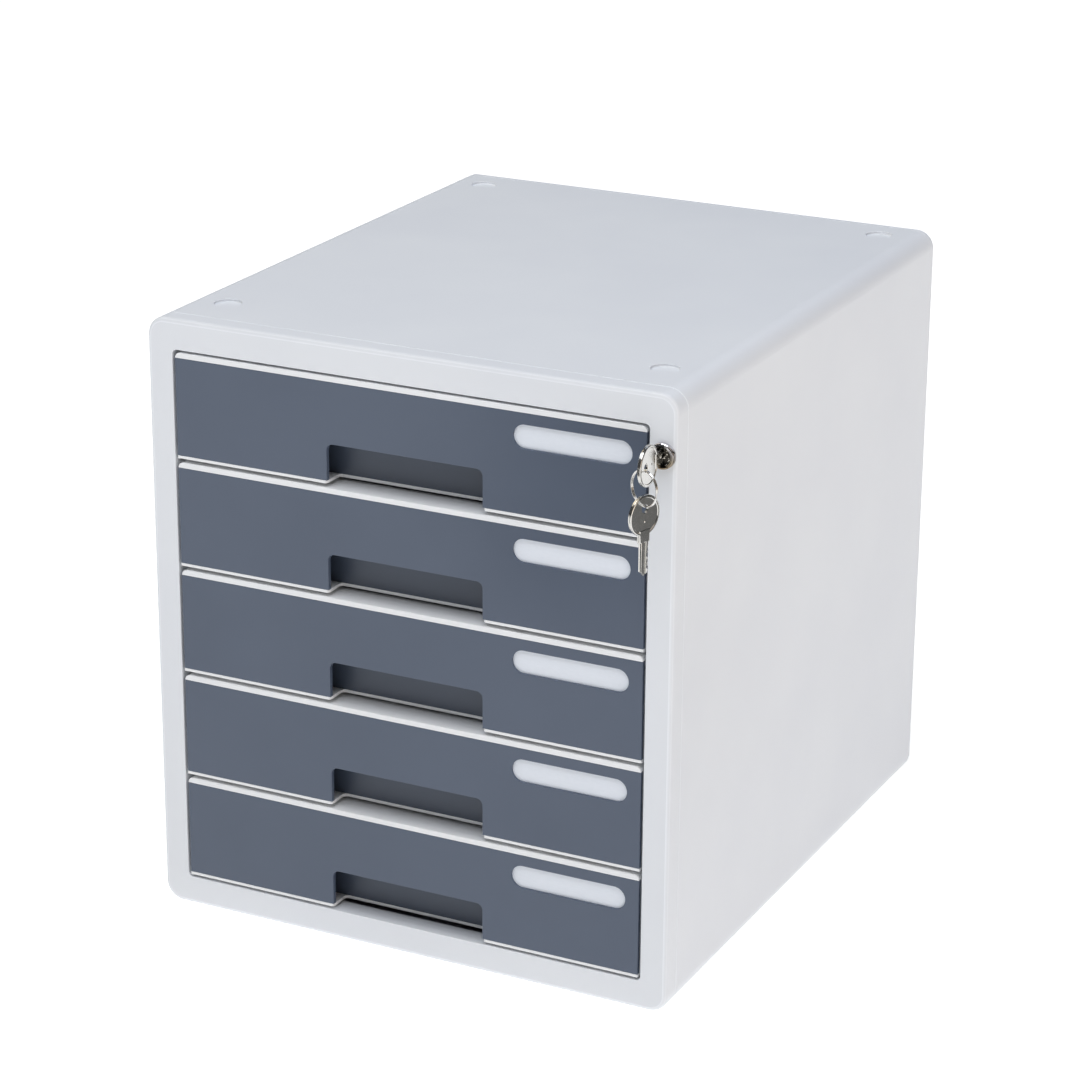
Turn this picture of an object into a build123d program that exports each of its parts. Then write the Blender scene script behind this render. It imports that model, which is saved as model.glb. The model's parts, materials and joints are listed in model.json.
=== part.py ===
from build123d import *
from math import cos, radians, sin
import os

os.makedirs("parts", exist_ok=True)

# Desktop file drawer: five lockable drawers in a rounded plastic casing, with two keys on a ring.
# Millimetres. +X is to the right seen from the front, +Y runs from the front to the back, +Z is up.
# The origin is on the table top, under the centre of the casing.

# ------------------------------------------------------------------ casing
CASE_W = 295.0  # outside width
CASE_D = 345.0  # frame's front face to cover's back face
CASE_H = 325.0  # outside height, without the feet
CORNER_R = 10.0  # the four long corners, seen from the front
WALL = 3.0
FRAME_DEEP = 11.5  # the front frame's seam lies this far behind its face
COVER_DEEP = 5.0  # thickness of the back cover at its rim
COVER_SKIN = 2.5
COVER_RIM = 14.0
COVER_EDGE_R = 2.0  # rounding of the cover's outer edge
COVER_HOLLOW_R = 4.0
SEAM_BEVEL = 0.4

FOOT_LIFT = 2.0  # the feet hold the casing this far off the table
FOOT_R = 6.8
FOOT_EDGE_R = 0.6
PEG_R = 3.0  # each foot's peg, pressed into the casing's floor
FOOT_X = 122.8
FOOT_FRONT_Y = -134.0
FOOT_BACK_Y = 150.0
RECESS_R = 7.2  # shallow seats on top for the feet of a second unit
RECESS_DEEP = 1.4
RECESS_FLOOR_R = 0.7
RECESS_RIM_R = 0.4

FRONT = -CASE_D / 2
BACK = CASE_D / 2
BASE = FOOT_LIFT
TOP = BASE + CASE_H
MID_Z = (BASE + TOP) / 2
SHELL_FRONT = FRONT + FRAME_DEEP
SHELL_BACK = BACK - COVER_DEEP
FOOT_SPOTS = [(x, y) for x in (-FOOT_X, FOOT_X) for y in (FOOT_FRONT_Y, FOOT_BACK_Y)]
FOOT_NAMES = ["foot_front_left", "foot_back_left", "foot_front_right", "foot_back_right"]

BOSS_R = 5.5  # screw posts in the casing's back corners
BOSS_LONG = 22.0
BOSS_X = CASE_W / 2 - 8.0
BOSS_RISE = CASE_H / 2 - 8.5
SCREW_R = 1.4
SCREW_LONG = 16.0
HEAD_R = 3.0
HEAD_H = 1.6
HEAD_FIT = 0.1
CROSS_LONG = 3.6  # cross slot in each screw's head
CROSS_W = 0.7
CROSS_DEEP = 0.9
FIT = 0.05  # radial clearance of a screw, a peg or a turning piece in its hole
BOSS_SPOTS = [(x, MID_Z + z) for x in (-BOSS_X, BOSS_X) for z in (-BOSS_RISE, BOSS_RISE)]

# ------------------------------------------------------------------ front frame
OPEN_W = 265.6
OPEN_H = 293.2
OPEN_LIFT = 15.8  # lower edge of the opening above the casing's underside
OPEN_R = 2.5
OPEN_MID = BASE + OPEN_LIFT + OPEN_H / 2
FRAME_SKIN = 3.0
OUTER_LIP = 2.2  # thickness of the frame's outer return
INNER_LIP = 2.0  # thickness of the return round the opening
FRAME_EDGE_R = 2.5
TAB_LONG = 40.0  # tongues that snap into the casing, two on each side
TAB_OFF = 70.0
TAB_T = 1.6
TAB_REACH = 8.0  # tongues run this far either side of the seam
TAB_SHOULDER = 1.5  # and thicken outwards this much where they join the frame
TAB_RELIEF = 1.0

# ------------------------------------------------------------------ drawers
DRAWERS = 5  # number 1 is the top one
PITCH = 58.5
FIRST_LIFT = 17.3  # underside of the lowest drawer above the casing's underside
FACE_W = 262.6
LIP = 1.6  # white edge under the grey panel
PANEL_H = 52.0
RIM = 2.8  # white edge over the grey panel
FACE_H = LIP + PANEL_H + RIM
FACE_R = 3.0
BOX_DEEP = 16.6  # depth of the hollow front, and of the ledge on top of it
BOX_WALL = 1.8
PANEL_T = 2.5
EDGE_R = 0.4

GRIP_W = 87.5  # finger cut-out
GRIP_H = 19.5
GRIP_R = 3.5
GRIP_DEEP = 13.1
POCKET_W = 106.0  # hand room behind the panel
POCKET_H = 22.4
POCKET_WALL = 1.5
NOTCH_R = 2.5

LABEL_X = 92.1
LABEL_RISE = 41.4  # centre of the label window above the drawer's underside
LABEL_W = 63.5
LABEL_H = 12.2
LABEL_SUNK = 1.2
CARD_W = 69.4
CARD_H = 17.4
CARD_R = 1.5
CARD_GAP = 0.3
PANEL_EDGE_R = 0.3

TUB_W = 248.0
TUB_WALL = 2.0
TUB_H = 48.0
TUB_BACK = 152.0
FLANGE_OUT = 4.3  # the tub's sliding flanges stand out this far
FLANGE_T = 2.0
STOP_RISE = 5.0
STOP_T = 4.0
STOP_INSET = 1.6

TRAVEL = 240.0

# ------------------------------------------------------------------ runners inside the casing
RUN_IN = 130.5
RUN_OUT = 133.0
RUN_FRONT = -146.0
RUN_BACK = 160.0
LEDGE_IN = 125.3
LEDGE_T = 2.0
SLIDE_GAP = 0.4
STOP_GAP = 0.5
RIB_T = 3.0
RIB_MARGIN = 16.0  # the ribs stop short of the casing's floor and roof
RIB_SPOTS = (-100.0, 10.0, 120.0)

# ------------------------------------------------------------------ lock
LOCK_X = 140.0
LOCK_Z = BASE + 294.8
COLLAR_R = 6.6
COLLAR_OUT = 2.6  # the collar stands proud of the frame
COLLAR_EDGE_R = 1.0
BARREL_R = 5.7
BARREL_BACK = -155.2
PLUG_HEAD_R = 4.9
PLUG_HEAD_T = 1.4
PLUG_EDGE_R = 0.3
PLUG_SUNK = 0.4
PLUG_R = 4.3
PLUG_BACK = -154.9
END_GAP = 0.1  # clearance along the lock's axis, and round the wafers
POST_MARGIN = 1.0  # the solid stretch of the post overlaps the hollow's walls by this
POST_HIGH = 20.0
POST_DEEP = 10.0
CLIP_T = 1.2
CLIP_W = 13.0
CLIP_H = 15.0
CLIP_R = 1.0
CLIP_SIDE_GAP = 0.2
CLIP_END_GAP = 0.5
GROOVE_R = 5.1
RELIEF_DEEP = 1.5  # pocket inside the casing's right wall that clears the lock
RELIEF_H = 13.0
RELIEF_BACK = -154.0
KEYWAY_W = 2.4
KEYWAY_H = 5.6
KEYWAY_END = -157.6
WAFERS = 4
WAFER_FIRST = -170.0
WAFER_STEP = 2.6
WAFER_T = 0.7
WAFER_W = 4.6
WAFER_H = 7.0
WINDOW_W = 2.6  # hole in each wafer for the key's blade
WINDOW_H = 5.7
TAIL = 4.4
CAM_FRONT = -154.2
CAM_BACK = -151.8
CAM_HUB_R = 4.0
ARM_W = 4.6
CAM_SCREW_R = 1.25
CAM_SCREW_LONG = 4.8
CAM_HEAD_R = 2.7
CAM_HEAD_T = 1.4
CAM_HEAD_EDGE_R = 0.5
CAM_THROW = 7.0  # crank pin's distance from the lock's axis
CAM_REST = 135.0  # crank's direction at rest, from +X, seen from the front
PIN_R = 1.5
PIN_ROOT = 1.0
PIN_BACK = -147.2
PIN_X = LOCK_X + CAM_THROW * cos(radians(CAM_REST))
PIN_Z = LOCK_Z + CAM_THROW * sin(radians(CAM_REST))

BAR_FRONT = -151.0
BAR_BACK = -148.0
BAR_LEFT = 129.2
BAR_RIGHT = 136.6
BAR_BOTTOM = BASE + 24.0
BAR_OVER = 6.5  # the bar ends this far above the crank pin
BAR_TOP = PIN_Z + BAR_OVER
SLOT_LEFT = 131.3
SLOT_H = 3.9
TOOTH_REACH = 4.0
TOOTH_H = 7.0
TOOTH_RISE = 22.4  # tooth's lower edge above the drawer's underside, unlocked
CATCH_RISE = 12.0
CATCH_H = 8.0
CATCH_FRONT = -147.0
CATCH_BACK = -143.5
GUIDE_LIFTS = (60.0, 160.0, 270.0)
GUIDE_H = 8.0
GUIDE_GAP = 0.4
GUIDE_T = 1.6
GUIDE_FOOT = 12.0  # each bracket's foot lies along the runner, with a screw through it
GUIDE_SCREW_Y = 7.5
GUIDE_HEAD_R = 2.6
GUIDE_HEAD_T = 1.4

# ------------------------------------------------------------------ keys and ring
KEY_T = 2.0
KEY_EDGE = 0.3
BOW_R = 10.2
BOW_OUT = 17.6  # bow's centre in front of the frame
HOLE_OUT = 3.3  # hole's distance from the bow's centre
HOLE_R = 2.1
NECK_W = 7.2
NECK_END = 13.6  # neck's end, from the bow's centre
BLADE_ROOT = 1.0  # the blade starts this far inside the neck
BLADE_W = 5.0
BLADE_END = 30.4
FLUTE_W = 1.3
FLUTE_DEEP = 0.5
FLUTE_OFF = 0.35  # the flute's middle lies a little towards the cuts
CUT_FIRST = 17.3
CUT_STEP = 2.95
CUT_DEPTHS = (0.9, 1.2, 0.7, 1.1)
RING_R = 8.9  # to the middle of the wire
WIRE_R = 0.75
RING_TURN = 24.0  # the ring's plane, turned from the frame's face
RING_DROP = 1.2  # the wire's middle hangs this far off the middle of each hole
SPARE_TURN = 72.0  # the spare key faces mostly to the right


def facing(y):
    """Upright plane at depth y, seen from the front: local x is to the right, local y is up."""
    return Plane.XZ.offset(-y)


def underside(number):
    """Height of a drawer's underside, from 1 at the top to DRAWERS at the bottom."""
    return BASE + FIRST_LIFT + (DRAWERS - number) * PITCH


def block(x, y, z, mode=Mode.ADD):
    """Box between two values of x, of y and of z, in the piece being built."""
    with Locations((sum(x) / 2, sum(y) / 2, sum(z) / 2)):
        Box(abs(x[1] - x[0]), abs(y[1] - y[0]), abs(z[1] - z[0]), mode=mode)


def rod(x, z, radius, front, back, mode=Mode.ADD):
    """Round bar along Y, from front to back, in the piece being built."""
    with Locations(facing(back)):
        with Locations((x, z)):
            from_back = (Align.CENTER, Align.CENTER, Align.MIN)
            Cylinder(radius, back - front, align=from_back, mode=mode)


def around(x, z, width, height):
    """Ranges of x and of z, for block(), of a rectangle centred on (x, z)."""
    return (x - width / 2, x + width / 2), (z - height / 2, z + height / 2)


def write(piece, label):
    """Name a finished piece and write it to its own file."""
    piece.part.label = label
    export_step(piece.part, f"parts/{label}.step")


# ------------------------------------------------------------------ casing pieces
def make_case_shell():
    """Tube with four round corners, screw posts, seats for feet on top and a relief for the lock."""
    with BuildPart() as case_shell:
        with BuildSketch(facing(SHELL_BACK)):
            with Locations((0, MID_Z)):
                RectangleRounded(CASE_W, CASE_H, CORNER_R)
                inner_r = CORNER_R - WALL
                RectangleRounded(CASE_W - 2 * WALL, CASE_H - 2 * WALL, inner_r, mode=Mode.SUBTRACT)
        extrude(amount=SHELL_BACK - SHELL_FRONT)
        chamfer(case_shell.faces().sort_by(Axis.Y)[0].outer_wire().edges(), SEAM_BEVEL)
        for x, z in BOSS_SPOTS:
            rod(x, z, BOSS_R, SHELL_BACK - BOSS_LONG, SHELL_BACK)
        for x, z in BOSS_SPOTS:
            rod(x, z, SCREW_R + FIT, SHELL_BACK - SCREW_LONG, SHELL_BACK, mode=Mode.SUBTRACT)
        with BuildSketch(Plane.XY.offset(TOP)):
            with Locations(*FOOT_SPOTS):
                Circle(RECESS_R)
        extrude(amount=-RECESS_DEEP, mode=Mode.SUBTRACT)
        rims = case_shell.edges().filter_by(GeomType.CIRCLE).filter_by(Plane.XY)
        fillet(rims.filter_by_position(Axis.Z, TOP - RECESS_DEEP, TOP - RECESS_DEEP), RECESS_FLOOR_R)
        rims = case_shell.edges().filter_by(GeomType.CIRCLE).filter_by(Plane.XY)
        fillet(rims.filter_by_position(Axis.Z, TOP, TOP), RECESS_RIM_R)
        with BuildSketch(Plane.XY.offset(BASE)):
            with Locations(*FOOT_SPOTS):
                Circle(PEG_R + FIT)
        extrude(amount=WALL, mode=Mode.SUBTRACT)
        wall_x = CASE_W / 2 - WALL
        relief_z = (LOCK_Z - RELIEF_H / 2, LOCK_Z + RELIEF_H / 2)
        relief_y = (SHELL_FRONT, RELIEF_BACK)
        block((wall_x, wall_x + RELIEF_DEEP), relief_y, relief_z, mode=Mode.SUBTRACT)
    write(case_shell, "case_shell")


def make_back_cover():
    """Flat cover with a rounded edge, hollowed inside, with a sunk screw in each corner."""
    screw_planes = [Plane(origin=(x, BACK, z), z_dir=(0, 1, 0)) for x, z in BOSS_SPOTS]
    with BuildPart() as back_cover:
        with BuildSketch(facing(BACK)):
            with Locations((0, MID_Z)):
                RectangleRounded(CASE_W, CASE_H, CORNER_R)
        extrude(amount=COVER_DEEP)
        fillet(back_cover.faces().sort_by(Axis.Y)[-1].outer_wire().edges(), COVER_EDGE_R)
        chamfer(back_cover.faces().sort_by(Axis.Y)[0].outer_wire().edges(), SEAM_BEVEL)
        with BuildSketch(facing(BACK - COVER_SKIN)):
            with Locations((0, MID_Z)):
                hollow_size = (CASE_W - 2 * COVER_RIM, CASE_H - 2 * COVER_RIM)
                RectangleRounded(*hollow_size, COVER_HOLLOW_R)
        extrude(amount=COVER_DEEP - COVER_SKIN, mode=Mode.SUBTRACT)
        with Locations(*screw_planes):
            CounterSinkHole(SCREW_R + FIT, HEAD_R + HEAD_FIT, depth=COVER_DEEP)
    write(back_cover, "back_cover")

    with BuildPart() as cover_screws:
        with Locations(*screw_planes):
            top_down = (Align.CENTER, Align.CENTER, Align.MAX)
            Cone(SCREW_R, HEAD_R, HEAD_H, align=top_down)
            Cylinder(SCREW_R, SCREW_LONG, align=top_down)
            Box(CROSS_LONG, CROSS_W, CROSS_DEEP, align=top_down, mode=Mode.SUBTRACT)
            Box(CROSS_W, CROSS_LONG, CROSS_DEEP, align=top_down, mode=Mode.SUBTRACT)
    write(cover_screws, "cover_screws")


def make_feet():
    """Four round rubber feet, each with a peg in the casing's floor."""
    for (x, y), label in zip(FOOT_SPOTS, FOOT_NAMES):
        with BuildPart() as foot:
            with BuildSketch(Plane.XY):
                with Locations((x, y)):
                    Circle(FOOT_R)
            extrude(amount=FOOT_LIFT)
            fillet(foot.edges().group_by(Axis.Z)[0], FOOT_EDGE_R)
            with BuildSketch(Plane.XY.offset(FOOT_LIFT)):
                with Locations((x, y)):
                    Circle(PEG_R)
            extrude(amount=WALL)
        write(foot, label)


def make_front_frame():
    """Moulded frame, hollow from behind, with snap tongues and a post bored for the lock."""
    with BuildPart() as front_frame:
        with BuildSketch(facing(SHELL_FRONT)):
            with Locations((0, MID_Z)):
                RectangleRounded(CASE_W, CASE_H, CORNER_R)
            with Locations((0, OPEN_MID)):
                RectangleRounded(OPEN_W, OPEN_H, OPEN_R, mode=Mode.SUBTRACT)
        extrude(amount=FRAME_DEEP)
        face = front_frame.faces().sort_by(Axis.Y)[0]
        fillet(face.outer_wire().edges(), FRAME_EDGE_R)
        fillet(front_frame.faces().sort_by(Axis.Y)[0].inner_wires()[0].edges(), EDGE_R)
        chamfer(front_frame.faces().sort_by(Axis.Y)[-1].outer_wire().edges(), SEAM_BEVEL)
        with BuildSketch(facing(SHELL_FRONT)):
            with Locations((0, MID_Z)):
                outer_r = CORNER_R - OUTER_LIP
                RectangleRounded(CASE_W - 2 * OUTER_LIP, CASE_H - 2 * OUTER_LIP, outer_r)
            with Locations((0, OPEN_MID)):
                inner_r = OPEN_R + INNER_LIP
                inner_size = (OPEN_W + 2 * INNER_LIP, OPEN_H + 2 * INNER_LIP)
                RectangleRounded(*inner_size, inner_r, mode=Mode.SUBTRACT)
        extrude(amount=FRAME_DEEP - FRAME_SKIN, mode=Mode.SUBTRACT)
        add_snap_tongues()
        add_lock_post()
    write(front_frame, "front_frame")


def add_snap_tongues():
    """Tongues on all four sides of the frame, each rooted in the outer return."""
    whole = (SHELL_FRONT - TAB_REACH, SHELL_FRONT + TAB_REACH)
    rooted = (SHELL_FRONT - TAB_REACH, SHELL_FRONT - TAB_RELIEF)
    half = TAB_LONG / 2
    for side in (-1, 1):
        wall_x = side * (CASE_W / 2 - WALL)
        wall_z = MID_Z + side * (CASE_H / 2 - WALL)
        thin_x = (wall_x - side * TAB_T, wall_x)
        thin_z = (wall_z - side * TAB_T, wall_z)
        thick_x = (wall_x - side * TAB_T, wall_x + side * TAB_SHOULDER)
        thick_z = (wall_z - side * TAB_T, wall_z + side * TAB_SHOULDER)
        for middle in (-TAB_OFF, TAB_OFF):
            along_x = (middle - half, middle + half)
            along_z = (MID_Z + middle - half, MID_Z + middle + half)
            block(thin_x, whole, along_z)
            block(thick_x, rooted, along_z)
            block(along_x, whole, thin_z)
            block(along_x, rooted, thick_z)


def add_lock_post():
    """Solid stretch of the right post round the lock, its bore and the seat of the clip."""
    post_back = FRONT + POST_DEEP
    post_x = (OPEN_W / 2 + POST_MARGIN, CASE_W / 2 - POST_MARGIN)
    post_z = (LOCK_Z - POST_HIGH / 2, LOCK_Z + POST_HIGH / 2)
    block(post_x, (FRONT + FRAME_SKIN - POST_MARGIN, post_back), post_z)
    rod(LOCK_X, LOCK_Z, BARREL_R + FIT, FRONT, SHELL_FRONT, mode=Mode.SUBTRACT)
    seat_size = (CLIP_W + 2 * CLIP_SIDE_GAP, CLIP_H + 2 * CLIP_END_GAP)
    seat_x, seat_z = around(LOCK_X, LOCK_Z, *seat_size)
    block(seat_x, (post_back, post_back + CLIP_T + END_GAP), seat_z, mode=Mode.SUBTRACT)


def make_runner(side, label):
    """Upright panel with a ledge and a stop for each drawer, held off the casing by ribs."""
    stop_back = TUB_BACK - STOP_T - TRAVEL - STOP_GAP
    with BuildPart() as runner:
        block((side * RUN_IN, side * RUN_OUT), (RUN_FRONT, RUN_BACK), (BASE + WALL, TOP - WALL))
        for number in range(1, DRAWERS + 1):
            flange_z = underside(number) + TUB_H - FLANGE_T
            ledge_z = (flange_z - SLIDE_GAP - LEDGE_T, flange_z - SLIDE_GAP)
            block((side * LEDGE_IN, side * RUN_IN), (RUN_FRONT, RUN_BACK), ledge_z)
            stop_z = (flange_z + FLANGE_T + SLIDE_GAP, flange_z + FLANGE_T + STOP_RISE)
            block((side * LEDGE_IN, side * RUN_IN), (stop_back - STOP_T, stop_back), stop_z)
        for y in RIB_SPOTS:
            rib_x = (side * RUN_OUT, side * (CASE_W / 2 - WALL))
            rib_z = (BASE + RIB_MARGIN, TOP - RIB_MARGIN)
            block(rib_x, (y - RIB_T / 2, y + RIB_T / 2), rib_z)
    write(runner, label)


# ------------------------------------------------------------------ drawer pieces
def make_tray(number):
    """White drawer: hollow front with ledge and lip, and an open tub with sliding flanges."""
    low = underside(number)
    box_back = FRONT + BOX_DEEP
    half_face = FACE_W / 2
    half_tub = TUB_W / 2
    with BuildPart() as tray:
        with BuildSketch(facing(box_back)) as outline:
            with Locations((0, low + FACE_H / 2)):
                Rectangle(FACE_W, FACE_H)
            fillet(outline.vertices().group_by(Axis.Y)[-1], FACE_R)
        extrude(amount=BOX_DEEP)
        fillet(tray.faces().sort_by(Axis.Y)[0].edges(), EDGE_R)
        inside_x = (-half_face + BOX_WALL, half_face - BOX_WALL)
        panel_z = (low + LIP, low + LIP + PANEL_H)
        block(inside_x, (FRONT, box_back - BOX_WALL), panel_z, mode=Mode.SUBTRACT)
        block((-half_face, half_face), (FRONT, FRONT + PANEL_T), panel_z, mode=Mode.SUBTRACT)
        cut_grip_notch(low)

        block((-half_tub, half_tub), (box_back - BOX_WALL, TUB_BACK), (low, low + TUB_H))
        room_x = (-half_tub + TUB_WALL, half_tub - TUB_WALL)
        room_z = (low + TUB_WALL, low + FACE_H)
        block(room_x, (box_back, TUB_BACK - TUB_WALL), room_z, mode=Mode.SUBTRACT)
        add_tray_flanges(low, half_tub, box_back)
    write(tray, f"drawer_{number}_tray")


def cut_grip_notch(low):
    """Cut the lip back under the finger cut-out, with rounded corners."""
    half = GRIP_W / 2
    outer = half + 2 * NOTCH_R
    with BuildSketch(Plane.XY.offset(low)) as notch:
        with BuildLine():
            Polyline(
                (-outer, FRONT - NOTCH_R),
                (-outer, FRONT),
                (-half, FRONT),
                (-half, FRONT + GRIP_DEEP),
                (half, FRONT + GRIP_DEEP),
                (half, FRONT),
                (outer, FRONT),
                (outer, FRONT - NOTCH_R),
                close=True,
            )
        make_face()
        side_walls = notch.edges().filter_by(Axis.Y).filter_by(lambda edge: edge.length > GRIP_DEEP / 2)
        fillet(side_walls.vertices(), NOTCH_R)
    extrude(notch.sketch, amount=LIP, mode=Mode.SUBTRACT)


def add_tray_flanges(low, half_tub, box_back):
    """Sliding flanges, the rear stops on them and, on the right, the catch for the lock."""
    flange_z = (low + TUB_H - FLANGE_T, low + TUB_H)
    for side in (-1, 1):
        out = side * (half_tub + FLANGE_OUT)
        block((side * (half_tub - TUB_WALL), out), (box_back - BOX_WALL, TUB_BACK), flange_z)
        stop_z = (flange_z[1] - FLANGE_T, flange_z[1] + STOP_RISE)
        block((side * (half_tub + STOP_INSET), out), (TUB_BACK - STOP_T, TUB_BACK), stop_z)
    catch_x = (half_tub - TUB_WALL, half_tub + FLANGE_OUT)
    catch_z = (low + CATCH_RISE, low + CATCH_RISE + CATCH_H)
    block(catch_x, (CATCH_FRONT, CATCH_BACK), catch_z)


def make_panel(number):
    """Grey front with the finger cut-out, the hand pocket behind it and the label window."""
    low = underside(number) + LIP
    card_mid = underside(number) + LABEL_RISE
    half = POCKET_W / 2
    back = FRONT + GRIP_DEEP
    with BuildPart() as panel:
        with BuildSketch(facing(FRONT + PANEL_T)):
            with Locations((0, low + PANEL_H / 2)):
                Rectangle(FACE_W, PANEL_H)
            with Locations((0, low + (GRIP_H - GRIP_R) / 2)):
                Rectangle(GRIP_W, GRIP_H - GRIP_R, mode=Mode.SUBTRACT)
            with Locations((0, low + GRIP_H / 2)):
                RectangleRounded(GRIP_W, GRIP_H, GRIP_R, mode=Mode.SUBTRACT)
            with Locations((LABEL_X, card_mid)):
                SlotOverall(LABEL_W, LABEL_H, mode=Mode.SUBTRACT)
        extrude(amount=PANEL_T)
        fillet(panel.faces().sort_by(Axis.Y)[0].edges(), PANEL_EDGE_R)
        seat_size = (CARD_W + 2 * CARD_GAP, CARD_H + 2 * CARD_GAP)
        card_x, card_z = around(LABEL_X, card_mid, *seat_size)
        block(card_x, (FRONT + LABEL_SUNK, FRONT + PANEL_T), card_z, mode=Mode.SUBTRACT)

        outer_x = (-half - POCKET_WALL, half + POCKET_WALL)
        block(outer_x, (FRONT + PANEL_T, back + POCKET_WALL), (low, low + POCKET_H + POCKET_WALL))
        block((-half, half), (FRONT + PANEL_T, back), (low, low + POCKET_H), mode=Mode.SUBTRACT)
    write(panel, f"drawer_{number}_front")

    with BuildPart() as card:
        with BuildSketch(facing(FRONT + PANEL_T)):
            with Locations((LABEL_X, card_mid)):
                RectangleRounded(CARD_W, CARD_H, CARD_R)
        extrude(amount=PANEL_T - LABEL_SUNK)
    write(card, f"drawer_{number}_label")


# ------------------------------------------------------------------ lock pieces
def make_lock_barrel():
    """Fixed housing: domed collar outside the frame, bored barrel and a groove for the clip."""
    clip_front = FRONT + POST_DEEP
    with BuildPart() as lock_barrel:
        rod(LOCK_X, LOCK_Z, COLLAR_R, FRONT - COLLAR_OUT, FRONT)
        fillet(lock_barrel.edges().group_by(Axis.Y)[0], COLLAR_EDGE_R)
        rod(LOCK_X, LOCK_Z, BARREL_R, FRONT, BARREL_BACK)
        with BuildSketch(facing(clip_front + CLIP_T + END_GAP)):
            with Locations((LOCK_X, LOCK_Z)):
                Circle(COLLAR_R)
                Circle(GROOVE_R, mode=Mode.SUBTRACT)
        extrude(amount=CLIP_T + END_GAP, mode=Mode.SUBTRACT)
        rod(LOCK_X, LOCK_Z, PLUG_R + FIT, FRONT - COLLAR_OUT, BARREL_BACK, mode=Mode.SUBTRACT)
        seat = FRONT - COLLAR_OUT + PLUG_SUNK + PLUG_HEAD_T + END_GAP
        head_r = PLUG_HEAD_R + FIT
        rod(LOCK_X, LOCK_Z, head_r, FRONT - COLLAR_OUT, seat, mode=Mode.SUBTRACT)
    write(lock_barrel, "lock_barrel")

    with BuildPart() as lock_clip:
        with BuildSketch(facing(clip_front + CLIP_T)):
            with Locations((LOCK_X, LOCK_Z)):
                RectangleRounded(CLIP_W, CLIP_H, CLIP_R)
                Circle(GROOVE_R + FIT, mode=Mode.SUBTRACT)
            with Locations((LOCK_X, LOCK_Z - CLIP_H / 2)):
                Rectangle(2 * (GROOVE_R + FIT), CLIP_H, mode=Mode.SUBTRACT)
        extrude(amount=CLIP_T)
    write(lock_clip, "lock_clip")


def make_lock_plug():
    """Turning core: headed plug with keyway, wafer slots, a square tail and a screw hole."""
    head_front = FRONT - COLLAR_OUT + PLUG_SUNK
    wafer_spots = [WAFER_FIRST + WAFER_STEP * i for i in range(WAFERS)]
    with BuildPart() as lock_plug:
        rod(LOCK_X, LOCK_Z, PLUG_HEAD_R, head_front, head_front + PLUG_HEAD_T)
        fillet(lock_plug.edges().group_by(Axis.Y)[0], PLUG_EDGE_R)
        rod(LOCK_X, LOCK_Z, PLUG_R, head_front + PLUG_HEAD_T, PLUG_BACK)
        tail_x, tail_z = around(LOCK_X, LOCK_Z, TAIL, TAIL)
        block(tail_x, (PLUG_BACK, CAM_BACK), tail_z)
        keyway_x, keyway_z = around(LOCK_X, LOCK_Z, KEYWAY_W, KEYWAY_H)
        block(keyway_x, (head_front, KEYWAY_END), keyway_z, mode=Mode.SUBTRACT)
        slot_x, slot_z = around(LOCK_X, LOCK_Z, WAFER_W + 2 * END_GAP, 2 * PLUG_R)
        for y in wafer_spots:
            block(slot_x, (y - END_GAP, y + WAFER_T + END_GAP), slot_z, mode=Mode.SUBTRACT)
        hole_front = CAM_BACK - CAM_SCREW_LONG - END_GAP
        rod(LOCK_X, LOCK_Z, CAM_SCREW_R + FIT, hole_front, CAM_BACK, mode=Mode.SUBTRACT)
    write(lock_plug, "lock_plug")

    wafer_x, wafer_z = around(LOCK_X, LOCK_Z, WAFER_W, WAFER_H)
    window_x, window_z = around(LOCK_X, LOCK_Z, WINDOW_W, WINDOW_H)
    with BuildPart() as lock_wafers:
        for y in wafer_spots:
            block(wafer_x, (y, y + WAFER_T), wafer_z)
            block(window_x, (y, y + WAFER_T), window_z, mode=Mode.SUBTRACT)
    write(lock_wafers, "lock_wafers")


def make_lock_cam():
    """Crank on the plug's tail, with the pin that lifts the bar, and its screw."""
    with BuildPart() as lock_cam:
        rod(LOCK_X, LOCK_Z, CAM_HUB_R, CAM_FRONT, CAM_BACK)
        with BuildSketch(facing(CAM_BACK)):
            with Locations(((LOCK_X + PIN_X) / 2, (LOCK_Z + PIN_Z) / 2)):
                Rectangle(CAM_THROW, ARM_W, rotation=CAM_REST)
            with Locations((PIN_X, PIN_Z)):
                Circle(ARM_W / 2)
        extrude(amount=CAM_BACK - CAM_FRONT)
        hole_x, hole_z = around(LOCK_X, LOCK_Z, TAIL + 2 * FIT, TAIL + 2 * FIT)
        block(hole_x, (CAM_FRONT, CAM_BACK), hole_z, mode=Mode.SUBTRACT)
        rod(PIN_X, PIN_Z, PIN_R, CAM_BACK - PIN_ROOT, PIN_BACK)
    write(lock_cam, "lock_cam")

    with BuildPart() as cam_screw:
        rod(LOCK_X, LOCK_Z, CAM_HEAD_R, CAM_BACK, CAM_BACK + CAM_HEAD_T)
        fillet(cam_screw.edges().group_by(Axis.Y)[-1], CAM_HEAD_EDGE_R)
        rod(LOCK_X, LOCK_Z, CAM_SCREW_R, CAM_BACK - CAM_SCREW_LONG, CAM_BACK)
    write(cam_screw, "cam_screw")


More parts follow.
